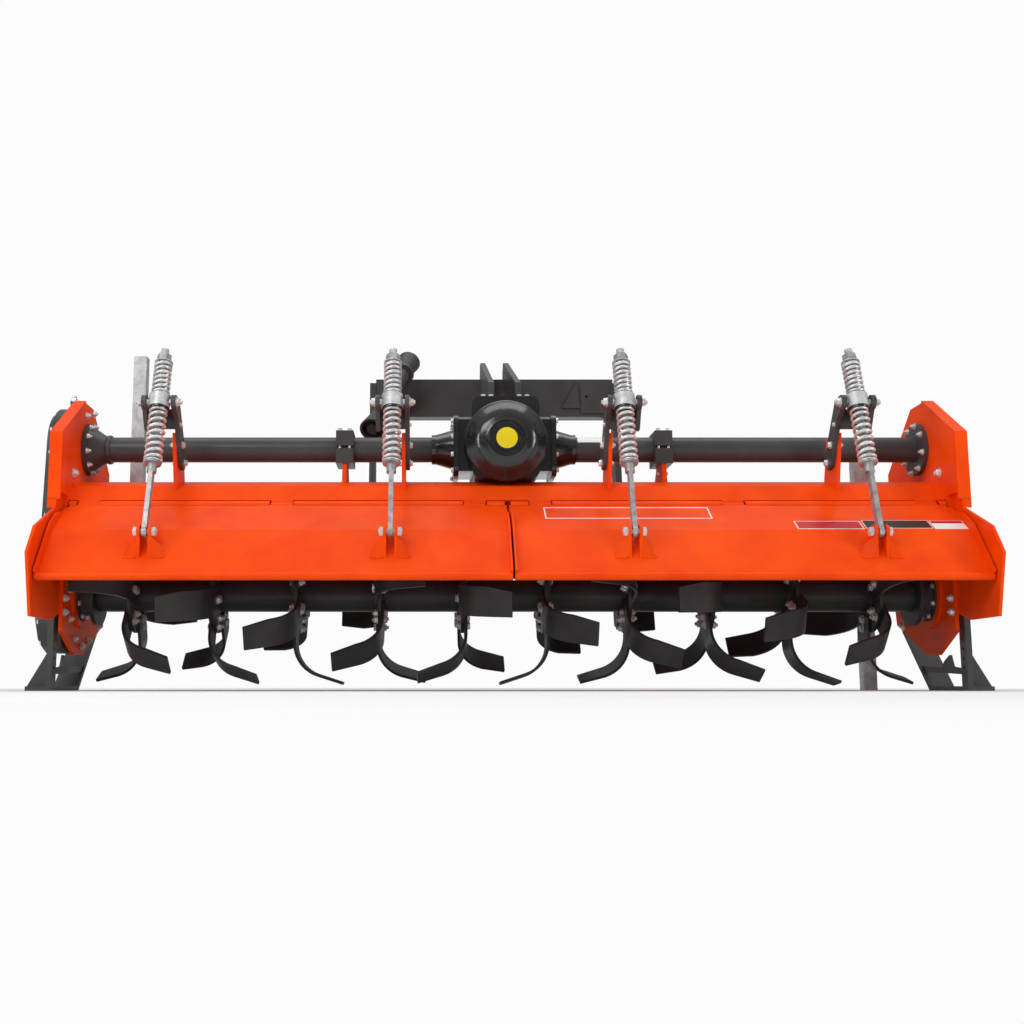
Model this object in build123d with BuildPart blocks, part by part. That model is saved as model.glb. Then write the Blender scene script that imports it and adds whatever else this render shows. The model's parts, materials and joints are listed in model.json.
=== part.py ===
from build123d import *
from math import atan2, cos, degrees, hypot, radians, sin
import os

os.makedirs("parts", exist_ok=True)

# Rear-mounted rotary tiller. Millimetres, +Z up, +Y towards the tractor, +X to the right seen from behind.
# The origin is on the floor in the middle of the whole machine.
# Outlines in the fore-and-aft plane are given as (reach, height): reach forwards of the rotor axis, height above
# the floor.

# ---- driving sizes ----
working_width = 2414.0  # between the two side plates
side_wall = 10.0
end_wall = 8.0
front_reach = 560.0  # rotor axis to the front of the lower hitch plates
rear_reach = 440.0  # rotor axis to the rear tip of the end plates
rotor_height = 266.0
blade_tip = 250.0  # radius that the blades sweep
hood_top = 588.0
tube_rise = 104.0  # cross tube axis above the hood
running_gap = 0.05  # radial clearance of a shaft or pin in its bore
weld_gap = 0.1  # between two round pieces that are welded or clamped together
swing_gap = 5.0  # beside a moving panel
seam = 0.5  # how far a rib or blade sinks into what it is welded to

side_inner = working_width / 2
side_outer = side_inner + side_wall
end_outer = side_outer + end_wall
rotor_y = (rear_reach - front_reach) / 2

# ---- cross tube ----
tube_reach = 17.0
tube_height = hood_top + tube_rise
tube_radius = 36.5
flange_radius = 75.0
flange_thick = 14.0
cone_radius = 68.0
cone_length = 46.0
clamp_x = 458.0
clamp_width = 50.0
clamp_half = 50.0
clamp_split = 8.0
web_wall = 12.0

# ---- gearbox ----
gearbox_width = 292.0
gearbox_body = 190.0
gearbox_rise = 130.0  # top of the gearbox above the tube axis
gearbox_rear = -112.0
gearbox_front = 128.0
gearbox_corner = 24.0
pad_side = 175.0
pad_thick = 14.0
arm_side = 150.0
neck_length = 62.0
neck_radius = 43.0
neck_root = 58.0
neck_ring = 12.0
cover_radius = 115.0
cover_depth = 50.0
cover_edge = 14.0
cover_face = 72.0
boss_radius = 46.0
boss_sink = 8.0
input_radius = 17.45
journal_radius = 22.0
journal_step = 6.0
journal_depth = 60.0
input_boss = 55.0
input_nose = 120.0
input_length = 100.0
gearbox_top = tube_height + gearbox_rise

# ---- hood ----
hood_sheet = 6.0
hinge_clear = 27.0  # from the blade tips out to the hinge axis
hinge_lean = 32.3  # degrees of the hinge axis behind the rotor's vertical
hinge_rod = 6.0
knuckle_radius = 11.0
knuckle_length = 60.0
lip_rise = 20.0  # rear lip of the hood above the hinge axis
hinge_reach = -(blade_tip + hinge_clear) * sin(radians(hinge_lean))
hinge_height = rotor_height + (blade_tip + hinge_clear) * cos(radians(hinge_lean))
hood_outer = [
    (hinge_reach + 1, hinge_height + lip_rise),
    (-119, hood_top - 25),
    (-40, hood_top),
    (110, hood_top),
    (190, hood_top - 33),
    (240, 470),
    (262, 375),
]

# ---- tailboard, placed from its hinge ----
tail_sheet = 5.0
tail_split = 6.0
crease_back = 144.0
crease_drop = 81.0
bottom_back = 247.0
bottom_drop = 211.0
tail_top = (hinge_reach - 15, hinge_height + 3)
tail_crease = (hinge_reach - crease_back, hinge_height - crease_drop)
tail_bottom = (hinge_reach - bottom_back, hinge_height - bottom_drop)
tail_roll = 10.0  # radius of the bar along the lower edge
tail_rib = 20.0
rib_start = 90.0
rib_run_out = 38.0
notch_depth = 14.0
notch_height = 60.0
ear_gap = 21.0
ear_wall = 8.0
ear_radius = 18.0
ear_above = 28.0
ear_below = 62.0
ear_rise = 38.0
foot_spread = 34.0
foot_wall = 5.0
clevis_pin = 7.0
pin_nut = 13.0
pin_nut_high = 10.0
pin_overhang = 12.0

# ---- spring rods ----
rod_stations = {"outer_left": -948.0, "inner_left": -315.0, "inner_right": 315.0, "outer_right": 948.0}
pin_reach = tail_crease[0] - 57
pin_height = tail_crease[1] - 12
collar_reach = -230.0
collar_height = 776.0
eye_play = 3.6
eye_wall = 4.0
rod_thick = 12.0
rod_width = 25.0
rod_radius = 10.0
rod_holes = [45.0, 75.0, 105.0, 135.0]  # from the pin up the flat bar
rod_hole = 4.0
flat_length = 172.0
sleeve_radius = 13.0
stop_at = 205.0
stop_height = 8.0
collar_radius = 29.0
collar_length = 40.0
spring_radius = 25.5
spring_bore = 16.5
spring_waist = 21.5
upper_spring = 108.0
upper_coils = 8
lower_coils = 9
coil_sides = 10
nut_radius = 20.0
nut_height = 22.0
tip_height = 20.0
trunnion_radius = 8.0
yoke_half = 34.0
yoke_wall = 12.0
yoke_radius = 20.0
lug_wall = 10.0

# ---- rotor ----
rotor_tube_radius = 45.0
rotor_end_gap = 5.0
rotor_disc_radius = 85.0
rotor_disc_thick = 12.0
rotor_flange_radius = 105.0
rotor_flange_thick = 10.0
rotor_flanges = 10
rotor_pitch = 231.0
rotor_shift = -6.0
bearing_nose = 40.0  # how far the bearing housings stand in from the side plates
bearing_foot = 68.0
bearing_foot_thick = 12.0
bearing_radius = 56.0
bearing_reach = 40.0
bearing_cap = 85.0
bearing_ring = 93.0
bearing_ring_bore = 72.0
bearing_ring_thick = 8.0
stub_radius = 30.0
blade_width = 80.0
blade_taper = 14.0
blade_thick = 8.0
blade_reach = 125.0
blade_bend = 90.0
blade_turn = 72.0  # degrees that a blade's wing is bent out of the radial direction
blade_root = 55.0
blade_step = 19.0  # degrees from one flange to the next
blade_phase = 22.0

# ---- skids and stands ----
skid_width = 70.0
skid_thick = 12.0
skid_kink = 79.0
runner_end = (260, 176)
post_reach = -160.0
post_depth = 38.0
post_wall = 16.0
post_top = 430.0
post_hole = 5.0
post_holes = [62.0, 87.0, 112.0, 137.0]  # heights above the floor
strut_wall = 8.0
strut_inset = 24.0
stand_side = 40.0
stand_wall = 4.0
stand_length = 720.0
stand_x = 1128.0
stand_reach = 296.0
stand_raised = 324.0
socket_wall = 5.0
socket_height = 130.0
socket_bottom = 395.0
socket_margin = 20.0
slide_gap = 0.5


def yz(points):
    """Points given as (reach from the rotor axis, height) in the part's own Y and Z."""
    return [(reach + rotor_y, height) for reach, height in points]


def toward(start, end, distance):
    """The point that lies a distance from start on the way to end."""
    length = hypot(end[0] - start[0], end[1] - start[1])
    share = distance / length
    return (start[0] + share * (end[0] - start[0]), start[1] + share * (end[1] - start[1]))


def offset_line(points, distance):
    """A bent line moved sideways: positive distance moves it to the right of its direction."""
    moved = []
    for index, (reach, height) in enumerate(points):
        angles = []
        if index > 0:
            before = points[index - 1]
            angles.append(atan2(height - before[1], reach - before[0]))
        if index < len(points) - 1:
            after = points[index + 1]
            angles.append(atan2(after[1] - height, after[0] - reach))
        mean = atan2(sum(sin(a) for a in angles), sum(cos(a) for a in angles))
        stretch = distance / cos(angles[0] - mean)
        moved.append((reach + stretch * sin(mean), height - stretch * cos(mean)))
    return moved


def band(points, thick):
    """The outline of a bent sheet whose outer side is the given line."""
    return points + offset_line(points, thick)[::-1]


def axis_plane(x, reach, height):
    """A plane across the X direction, centred on a shaft or tube."""
    return Plane(origin=(x, reach + rotor_y, height), x_dir=(0, 1, 0), z_dir=(1, 0, 0))


def facing_rear(reach, height):
    """A plane across the Y direction whose normal points to the rear; local x runs to the right."""
    return Plane(origin=(0, reach + rotor_y, height), x_dir=(1, 0, 0), z_dir=(0, -1, 0))


def write(name, part):
    part.label = name
    export_step(part, f"parts/{name}.step")


# ---- side plates, with the strip folded outwards along the upper rear edge ----
plate_front = 258.0
plate_rear = -222.0
plate_shoulder = 692.0
plate_sill = 530.0
plate_foot = -165.0
plate_toe = 98.0
plate_outline = [
    (-20, tube_height + 130),
    (59, tube_height + 129),
    (plate_front, tube_height - 33),
    (plate_front, 241),
    (plate_front - 8, 195),
    (40, plate_toe + 2),
    (-40, plate_toe),
    (plate_foot, 160),
    (plate_foot, plate_sill),
    (plate_rear, plate_sill),
    (plate_rear, plate_shoulder),
]
fold_line = [(plate_rear, plate_sill - 19), (plate_rear, plate_shoulder), plate_outline[0]]
fold_wide = 34.0
fold_wall = 8.0


def side_plate(side):
    with BuildPart() as plate:
        with BuildSketch(Plane.YZ.offset(side * side_inner)):
            Polygon(*yz(plate_outline), align=None)
        extrude(amount=side * side_wall)
        with BuildSketch(axis_plane(side * side_inner, 0, rotor_height)):
            Circle(bearing_ring)
        extrude(amount=-side * bearing_ring_thick)
        with BuildSketch(axis_plane(side * side_inner, 0, rotor_height)):
            Circle(bearing_ring_bore)
        extrude(amount=-side * bearing_ring_thick, mode=Mode.SUBTRACT)
        with BuildSketch(axis_plane(side * side_inner, 0, rotor_height)):
            Circle(bearing_radius + weld_gap)
        extrude(amount=side * side_wall, mode=Mode.SUBTRACT)
        with BuildSketch(Plane.YZ.offset(side * side_inner)):
            Polygon(*yz(band(fold_line, -fold_wall)), align=None)
        extrude(amount=side * fold_wide)
    return plate.part


# ---- end plates outside the side plates, closing the ends of the tailboards ----
end_outline = [
    (plate_foot + 45, hinge_height),
    (plate_foot + 5, hinge_height + 18),
    (-387, 418),
    (-rear_reach, 345),
    (-395, 187),
    (-232, 186),
    (plate_foot + 45, 220),
]


def end_plates():
    with BuildPart() as plates:
        for side in (-1, 1):
            with BuildSketch(Plane.YZ.offset(side * side_outer)):
                Polygon(*yz(end_outline), align=None)
            extrude(amount=side * end_wall)
    return plates.part


# ---- hood, with the hinge knuckles under its rear lip ----
hinge_stations = {-1: (-1150, -620, -90), 1: (90, 620, 1150)}
tail_stations = {-1: (-1040, -200), 1: (200, 1040)}
hinge_margin = 40.0


def hood():
    lip = hood_outer[0]
    with BuildPart() as cover:
        with BuildSketch(Plane.YZ.offset(-side_inner)):
            Polygon(*yz(band(hood_outer, hood_sheet)), align=None)
        extrude(amount=working_width)
        for stations in hinge_stations.values():
            for x in stations:
                with BuildSketch(Plane.YZ.offset(x - knuckle_length / 2)):
                    with Locations((hinge_reach + rotor_y, hinge_height)):
                        Circle(knuckle_radius)
                    Polygon(
                        *yz([
                            (hinge_reach - knuckle_radius / 2, hinge_height),
                            (hinge_reach + knuckle_radius, hinge_height),
                            (hinge_reach + knuckle_radius, lip[1] + 12),
                            (lip[0] + 1, lip[1] + 2),
                        ]),
                        align=None,
                    )
                    with Locations((hinge_reach + rotor_y, hinge_height)):
                        Circle(hinge_rod + weld_gap, mode=Mode.SUBTRACT)
                extrude(amount=knuckle_length)
    return cover.part


def hinge_rods():
    with BuildPart() as rods:
        for side in (-1, 1):
            with BuildSketch(axis_plane(side * hinge_margin, hinge_reach, hinge_height)):
                Circle(hinge_rod)
            extrude(amount=side * (side_inner - hinge_margin - swing_gap))
    return rods.part


# ---- tailboard halves ----
panel_length = hypot(tail_bottom[0] - tail_crease[0], tail_bottom[1] - tail_crease[1])
panel_down = ((tail_bottom[0] - tail_crease[0]) / panel_length, (tail_bottom[1] - tail_crease[1]) / panel_length)
panel_out = (panel_down[1], -panel_down[0])


def on_panel(along, out):
    """A point measured down the lower panel from the crease and out from its face."""
    return (
        tail_crease[0] + along * panel_down[0] + out * panel_out[0],
        tail_crease[1] + along * panel_down[1] + out * panel_out[1],
    )


def panel_plane(x, along, out):
    """A plane across the lower panel: local x to the right, local y straight out from its face."""
    reach, height = on_panel(along, out)
    return Plane(origin=(x, reach + rotor_y, height), x_dir=(1, 0, 0), z_dir=(0, -panel_down[0], -panel_down[1]))


pin_along = (pin_reach - tail_crease[0]) * panel_down[0] + (pin_height - tail_crease[1]) * panel_down[1]
pin_out = (pin_reach - tail_crease[0]) * panel_out[0] + (pin_height - tail_crease[1]) * panel_out[1]
tail_half = side_outer - swing_gap
tail_notch = side_inner - swing_gap - 2
tail_line = [tail_top, tail_crease, tail_bottom]


def rods_on(side):
    return [x for x in rod_stations.values() if x * side > 0]


def tailboard(side):
    notch_edge = toward(tail_top, tail_crease, notch_depth)
    rib_line = [toward(tail_top, tail_crease, rib_start), tail_crease, tail_bottom]
    rib_outline = [toward(tail_top, tail_crease, rib_run_out)] + band(rib_line, tail_rib)
    foot_top = pin_along - ear_above
    foot_length = ear_above + ear_below
    with BuildPart() as board:
        with BuildSketch(Plane.YZ.offset(side * tail_split / 2)):
            Polygon(*yz(band(tail_line, -tail_sheet)), align=None)
            with Locations(*yz([on_panel(panel_length, -tail_sheet / 2)])):
                Circle(tail_roll)
        extrude(amount=side * (tail_half - tail_split / 2))
        with BuildSketch(Plane.YZ.offset(side * tail_notch)):
            Polygon(
                *yz([
                    (tail_top[0] + notch_height, tail_top[1] + notch_height),
                    (tail_top[0] + notch_height, tail_top[1] - notch_height),
                    (notch_edge[0], tail_top[1] - notch_height),
                    (notch_edge[0], tail_top[1] + notch_height),
                ]),
                align=None,
            )
        extrude(amount=side * (tail_half - tail_notch), mode=Mode.SUBTRACT)
        for x in (side * tail_split / 2, side * (tail_half - tail_sheet)):
            with BuildSketch(Plane.YZ.offset(x)):
                Polygon(*yz(rib_outline), align=None)
            extrude(amount=side * tail_sheet)
        for x in tail_stations[side]:
            with BuildSketch(Plane.YZ.offset(x - knuckle_length / 2)):
                with Locations((hinge_reach + rotor_y, hinge_height)):
                    Circle(knuckle_radius)
                Polygon(
                    *yz([
                        (hinge_reach, hinge_height + 9),
                        tail_top,
                        toward(tail_top, tail_crease, 20),
                        (hinge_reach - 2, hinge_height - 9),
                    ]),
                    align=None,
                )
                with Locations((hinge_reach + rotor_y, hinge_height)):
                    Circle(hinge_rod + running_gap, mode=Mode.SUBTRACT)
            extrude(amount=knuckle_length)
        for x in rods_on(side):
            for ear in (-1, 1):
                inner = x + ear * ear_gap / 2
                outer = inner + ear * ear_wall
                with BuildSketch(Plane.YZ.offset(inner)):
                    Polygon(
                        *yz([
                            on_panel(pin_along - ear_above, -seam),
                            on_panel(pin_along - ear_radius, ear_rise),
                            on_panel(pin_along + ear_radius, ear_rise),
                            on_panel(pin_along + ear_below, -seam),
                        ]),
                        align=None,
                    )
                    with Locations((pin_reach + rotor_y, pin_height)):
                        Circle(ear_radius)
                        Circle(clevis_pin + weld_gap, mode=Mode.SUBTRACT)
                extrude(amount=ear * ear_wall)
                with BuildSketch(panel_plane(outer - ear * seam, foot_top + foot_length / 2, 0)):
                    Polygon(
                        (0, -seam),
                        (0, pin_out - ear_radius),
                        (ear * foot_spread, -seam),
                        align=None,
                    )
                extrude(amount=foot_wall / 2, both=True)
                with BuildSketch(panel_plane(outer - ear * seam, foot_top + foot_length - foot_wall, 0)):
                    Polygon(
                        (0, -seam),
                        (0, ear_rise / 3),
                        (ear * foot_spread, -seam),
                        align=None,
                    )
                extrude(amount=foot_wall / 2, both=True)
    return board.part


def clevis_pins(side):
    reach = ear_gap / 2 + ear_wall
    with BuildPart() as pins:
        for x in rods_on(side):
            with BuildSketch(axis_plane(x - reach - pin_overhang, pin_reach, pin_height)):
                Circle(clevis_pin)
            extrude(amount=2 * (reach + pin_overhang))
            for ear in (-1, 1):
                with BuildSketch(axis_plane(x + ear * (reach + weld_gap), pin_reach, pin_height)):
                    RegularPolygon(pin_nut, 6)
                extrude(amount=ear * pin_nut_high)
    return pins.part


# ---- spring rods, each built along its own axis from the clevis pin ----
rod_lean = atan2(collar_reach - pin_reach, collar_height - pin_height)
collar_at = hypot(collar_reach - pin_reach, collar_height - pin_height)
collar_low = collar_at - collar_length / 2
collar_high = collar_at + collar_length / 2
nut_at = collar_high + upper_spring


def rod_plane(x, along=0.0):
    """A plane across a rod, at a distance up from its clevis pin."""
    base = Plane(
        origin=(x, pin_reach + rotor_y, pin_height),
        x_dir=(1, 0, 0),
        z_dir=(0, sin(rod_lean), cos(rod_lean)),
    )
    return base.offset(along)


def rod_side_plane(x, shift=0.0):
    """Looks along X; local x runs up the rod, local y to its rear."""
    return Plane(
        origin=(x + shift, pin_reach + rotor_y, pin_height),
        x_dir=(0, sin(rod_lean), cos(rod_lean)),
        z_dir=(1, 0, 0),
    )


def spring_rod(x):
    sleeve_length = stop_at - stop_height - flat_length
    with BuildPart() as rod:
        with BuildSketch(rod_side_plane(x, -rod_thick / 2)):
            with Locations((flat_length / 2, 0)):
                Rectangle(flat_length, rod_width)
            Circle(clevis_pin + eye_play + eye_wall)
            Circle(clevis_pin + eye_play, mode=Mode.SUBTRACT)
            with Locations(*[(station, 0) for station in rod_holes]):
                Circle(rod_hole, mode=Mode.SUBTRACT)
        extrude(amount=rod_thick)
        with BuildSketch(rod_plane(x, flat_length)):
            Circle(sleeve_radius)
        extrude(amount=sleeve_length)
        with BuildSketch(rod_plane(x, flat_length + sleeve_length)):
            Circle(spring_radius - 2)
        extrude(amount=stop_height)
        with BuildSketch(rod_plane(x, stop_at)):
            Circle(rod_radius)
        extrude(amount=nut_at + nut_height + tip_height - stop_at)
        with BuildSketch(rod_plane(x, nut_at)):
            RegularPolygon(nut_radius, 6)
        extrude(amount=nut_height)
    return rod.part


def collar(x):
    with BuildPart() as block:
        with BuildSketch(rod_plane(x, collar_low)):
            Circle(collar_radius)
            Circle(rod_radius + running_gap, mode=Mode.SUBTRACT)
        extrude(amount=collar_length)
        for ear in (-1, 1):
            with BuildSketch(axis_plane(x + ear * (collar_radius - 4), collar_reach, collar_height)):
                Circle(trunnion_radius)
            extrude(amount=ear * (yoke_half + yoke_wall - collar_radius + 4))
    return block.part


def springs(x):
    """Two coil springs, each coil a many-sided ring that swells to the full radius."""
    with BuildPart() as pair:
        for start, length, coils in (
            (stop_at, collar_low - stop_at, lower_coils),
            (collar_high, upper_spring, upper_coils),
        ):
            pitch = length / coils
            rise = (spring_radius - spring_waist) * cos(radians(180 / coil_sides))
            swell = degrees(atan2(rise, pitch / 2))
            with BuildSketch(*[rod_plane(x, start + pitch * (i + 0.5)) for i in range(coils)]):
                RegularPolygon(spring_radius, coil_sides)
            upper_halves = extrude(amount=pitch / 2, taper=swell)
            mirror(upper_halves, about=rod_plane(x, start + length / 2))
            with BuildSketch(rod_plane(x, start)):
                RegularPolygon(spring_bore, coil_sides)
            extrude(amount=length, mode=Mode.SUBTRACT)
    return pair.part


# ---- lugs on the hood and the yokes bolted to them ----
lug_top = 705.0
lug_front = tube_reach - tube_radius - 8
lug_foot = toward(hood_outer[1], hood_outer[0], 17)
lug_outline = [
    lug_foot,
    hood_outer[1],
    hood_outer[2],
    (lug_front, hood_top),
    (-62, lug_top),
    (-165, lug_top),
]
strap_outline = [(0, -20), (0, 20), (45, 14), (160, -136), (135, -164), (102, -156), (35, -41)]
short_outline = [(0, -20), (0, 20), (52, 10), (52, -70), (30, -70)]
yoke_web = [(40, -64), (40, -10), (52, -10), (52, -64)]


def from_collar(points):
    """Points given from the collar's pivot."""
    return [(collar_reach + reach, collar_height + height) for reach, height in points]


def spring_lugs():
    with BuildPart() as lugs:
        for x in rod_stations.values():
            inward = -1 if x > 0 else 1
            with BuildSketch(Plane.YZ.offset(x + inward * yoke_half)):
                Polygon(*yz(lug_outline), align=None)
            extrude(amount=-inward * lug_wall)
    return lugs.part


def spring_yokes():
    with BuildPart() as yokes:
        for x in rod_stations.values():
            inward = -1 if x > 0 else 1
            for arm, outline in ((inward, strap_outline), (-inward, short_outline)):
                with BuildSketch(Plane.YZ.offset(x + arm * yoke_half)):
                    Polygon(*yz(from_collar(outline)), align=None)
                    with Locations((collar_reach + rotor_y, collar_height)):
                        Circle(yoke_radius)
                        Circle(trunnion_radius + running_gap, mode=Mode.SUBTRACT)
                extrude(amount=arm * yoke_wall)
            with BuildSketch(Plane.YZ.offset(x - yoke_half)):
                Polygon(*yz(from_collar(yoke_web)), align=None)
            extrude(amount=2 * yoke_half)
    return yokes.part


# ---- cross tubes from the gearbox to the side plates ----
neck_end = gearbox_width / 2 + neck_length


def cross_tubes():
    with BuildPart() as tubes:
        for side in (-1, 1):
            with BuildSketch(axis_plane(side * neck_end, tube_reach, tube_height)):
                Circle(tube_radius)
            extrude(amount=side * (side_inner - neck_end))
            with BuildSketch(axis_plane(side * side_inner, tube_reach, tube_height)):
                Circle(flange_radius)
            extrude(amount=-side * flange_thick)
        with BuildSketch(axis_plane(-side_inner + flange_thick, tube_reach, tube_height)):
            Circle(cone_radius)
        with BuildSketch(axis_plane(-side_inner + flange_thick + cone_length, tube_reach, tube_height)):
            Circle(tube_radius)
        loft()
    return tubes.part


# ---- split clamps that hold the tubes down to the hood ----
clamp_low = tube_height - clamp_half + 2


def tube_clamps():
    with BuildPart() as clamps:
        for side in (-1, 1):
            with BuildSketch(axis_plane(side * clamp_x - clamp_width / 2, tube_reach, tube_height)):
                Rectangle(2 * clamp_half, 2 * (tube_height - clamp_low))
                Circle(tube_radius + weld_gap, mode=Mode.SUBTRACT)
                Rectangle(2 * clamp_half, clamp_split, mode=Mode.SUBTRACT)
            extrude(amount=clamp_width)
    return clamps.part


def clamp_webs():
    with BuildPart() as webs:
        for side in (-1, 1):
            with BuildSketch(Plane.YZ.offset(side * clamp_x - web_wall / 2)):
                Polygon(
                    *yz([
                        (hood_outer[2][0], hood_top),
                        (tube_reach - clamp_half + 5, clamp_low),
                        (tube_reach + clamp_half - 5, clamp_low),
                        (hood_outer[3][0], hood_top),
                    ]),
                    align=None,
                )
            extrude(amount=web_wall)
    return webs.part


# ---- gearbox ----
def gearbox_housing():
    middle = (gearbox_top + hood_top) / 2
    nose_end = gearbox_front + input_nose
    with BuildPart() as housing:
        with BuildSketch(facing_rear(gearbox_front, middle)):
            RectangleRounded(gearbox_body, gearbox_top - hood_top, gearbox_corner)
        extrude(amount=gearbox_front - gearbox_rear)
        with BuildSketch(axis_plane(-gearbox_width / 2, tube_reach, tube_height)):
            Rectangle(arm_side, arm_side)
        extrude(amount=gearbox_width)
        for side in (-1, 1):
            with BuildSketch(axis_plane(side * gearbox_width / 2, tube_reach, tube_height)):
                RectangleRounded(pad_side, pad_side, gearbox_corner)
            extrude(amount=-side * pad_thick)
            with BuildSketch(axis_plane(side * gearbox_width / 2, tube_reach, tube_height)):
                Circle(neck_root)
            with BuildSketch(axis_plane(side * (neck_end - neck_ring), tube_reach, tube_height)):
                Circle(neck_radius)
            loft()
            with BuildSketch(axis_plane(side * neck_end, tube_reach, tube_height)):
                Circle(neck_radius)
            extrude(amount=-side * neck_ring)
        with BuildSketch(facing_rear(nose_end, tube_height)):
            Circle(input_boss)
        extrude(amount=input_nose)
        with BuildSketch(facing_rear(nose_end, tube_height)):
            Circle(journal_radius + running_gap)
        extrude(amount=journal_depth + 10, mode=Mode.SUBTRACT)
    return housing.part


def gearbox_cover():
    rear = gearbox_rear + rotor_y
    with BuildPart() as cover:
        with BuildSketch(Plane.YZ):
            Polygon(
                (rear, tube_height),
                (rear, tube_height + cover_radius),
                (rear - cover_edge, tube_height + cover_radius),
                (rear - cover_depth + boss_sink, tube_height + cover_face),
                (rear - cover_depth + 2 * boss_sink, tube_height + cover_face),
                (rear - cover_depth + 2 * boss_sink, tube_height + boss_radius),
                (rear - cover_depth, tube_height + boss_radius),
                (rear - cover_depth, tube_height),
                align=None,
            )
        revolve(axis=Axis((0, 0, tube_height), (0, 1, 0)))
    return cover.part


def input_shaft():
    nose_end = gearbox_front + input_nose
    with BuildPart() as shaft:
        with BuildSketch(facing_rear(nose_end + journal_step, tube_height)):
            Circle(journal_radius)
        extrude(amount=journal_depth + journal_step)
        with BuildSketch(facing_rear(nose_end + journal_step, tube_height)):
            Circle(input_radius)
        extrude(amount=-input_length)
    return shaft.part


# ---- gear case outside the left side plate: round above, eight-sided below ----
case_upper = 118.0
case_depth = 56.0
case_step = 30.0
case_cap = 14.0
case_lower = [
    (-136, 10),
    (-136, -85),
    (-100, -145),
    (-55, -162),
    (55, -162),
    (100, -145),
    (136, -85),
    (136, 10),
]
filler_radius = 11.0
filler_height = 24.0


def case_outline(shrink):
    """Hull of the two lobes, as a sketch on the plane in use."""
    with BuildSketch() as outline:
        with Locations((tube_reach + rotor_y, tube_height)):
            Circle(case_upper - shrink)
        Polygon(
            *[
                (rotor_y + reach * (1 - shrink / case_upper), rotor_height + height * (1 - shrink / case_upper))
                for reach, height in case_lower
            ],
            align=None,
        )
        make_hull()
    return outline.sketch


def side_gear_case():
    with BuildPart() as case:
        with BuildSketch(Plane.YZ.offset(-end_outer)):
            add(case_outline(0))
        extrude(amount=-case_depth)
        with BuildSketch(Plane.YZ.offset(-end_outer - case_depth)):
            add(case_outline(case_step / 2))
        extrude(amount=-case_cap)
        with BuildSketch(Plane.YZ.offset(-side_outer)):
            add(case_outline(case_step))
        extrude(amount=-end_wall)
        with BuildSketch(Plane.XY.offset(tube_height + case_upper - seam)):
            with Locations((-end_outer - case_depth / 2, tube_reach + rotor_y)):
                Circle(filler_radius)
        extrude(amount=filler_height + seam)
    return case.part


# ---- rotor bearings, fixed to the side plates ----
def rotor_bearings():
    with BuildPart() as bearings:
        for side in (-1, 1):
            with BuildSketch(axis_plane(side * side_inner, 0, rotor_height)):
                Circle(bearing_foot)
            extrude(amount=-side * bearing_foot_thick)
            with BuildSketch(axis_plane(side * (side_inner - bearing_nose), 0, rotor_height)):
                Circle(bearing_radius)
            extrude(amount=side * (bearing_nose + side_wall))
            with BuildSketch(axis_plane(side * (side_inner - bearing_nose), 0, rotor_height)):
                Circle(stub_radius + running_gap)
            extrude(amount=side * (bearing_nose + side_wall / 2), mode=Mode.SUBTRACT)
        with BuildSketch(axis_plane(side_outer, 0, rotor_height)):
            Circle(bearing_cap)
        extrude(amount=bearing_reach)
    return bearings.part


# ---- rotor ----
rotor_end = side_inner - bearing_nose - rotor_end_gap
flange_places = [rotor_shift + (i - (rotor_flanges - 1) / 2) * rotor_pitch for i in range(rotor_flanges)]


def rotor_tube():
    with BuildPart() as rotor:
        with BuildSketch(axis_plane(-rotor_end, 0, rotor_height)):
            Circle(rotor_tube_radius)
        extrude(amount=2 * rotor_end)
        for side in (-1, 1):
            with BuildSketch(axis_plane(side * rotor_end, 0, rotor_height)):
                Circle(rotor_disc_radius)
            extrude(amount=-side * rotor_disc_thick)
            with BuildSketch(axis_plane(side * rotor_end, 0, rotor_height)):
                Circle(stub_radius)
            extrude(amount=side * (rotor_end_gap + bearing_nose))
    return rotor.part


def blade(way):
    """One blade about the rotor's centre, its shank up +Z and its wing bent towards way along X."""
    face = rotor_flange_thick / 2 - seam
    turn = radians(blade_turn)
    outer_bend = blade_bend + blade_thick
    wing = (blade_reach + face - blade_bend + outer_bend * cos(turn)) / sin(turn)
    bend_start = blade_tip - outer_bend * sin(turn) - wing * cos(turn)
    centre = blade_bend - face

    def on_bend(radius, angle):
        return (way * (centre - radius * cos(angle)), bend_start + radius * sin(angle))

    def wing_end(radius):
        x, z = on_bend(radius, turn)
        return (x + way * wing * sin(turn), z + wing * cos(turn))

    with BuildPart() as one:
        with BuildSketch(Plane.XZ.offset(-blade_width / 2)):
            with BuildLine():
                Line((way * (centre - outer_bend), blade_root), on_bend(outer_bend, 0))
                ThreePointArc(on_bend(outer_bend, 0), on_bend(outer_bend, turn / 2), on_bend(outer_bend, turn))
                Polyline(
                    on_bend(outer_bend, turn),
                    wing_end(outer_bend),
                    wing_end(blade_bend),
                    on_bend(blade_bend, turn),
                )
                ThreePointArc(on_bend(blade_bend, turn), on_bend(blade_bend, turn / 2), on_bend(blade_bend, 0))
                Polyline(
                    on_bend(blade_bend, 0),
                    (way * (centre - blade_bend), blade_root),
                    (way * (centre - outer_bend), blade_root),
                )
            make_face()
        extrude(amount=blade_width)
        with BuildSketch(Plane.XY.offset(bend_start)):
            Polygon(
                (way * (centre - blade_bend * cos(turn) + 2), blade_width / 2),
                (way * (blade_reach + blade_thick), blade_width / 2),
                (way * (blade_reach + blade_thick), blade_width / 2 - blade_taper),
                align=None,
            )
        extrude(amount=blade_tip, mode=Mode.SUBTRACT)
    return one.part


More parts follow.
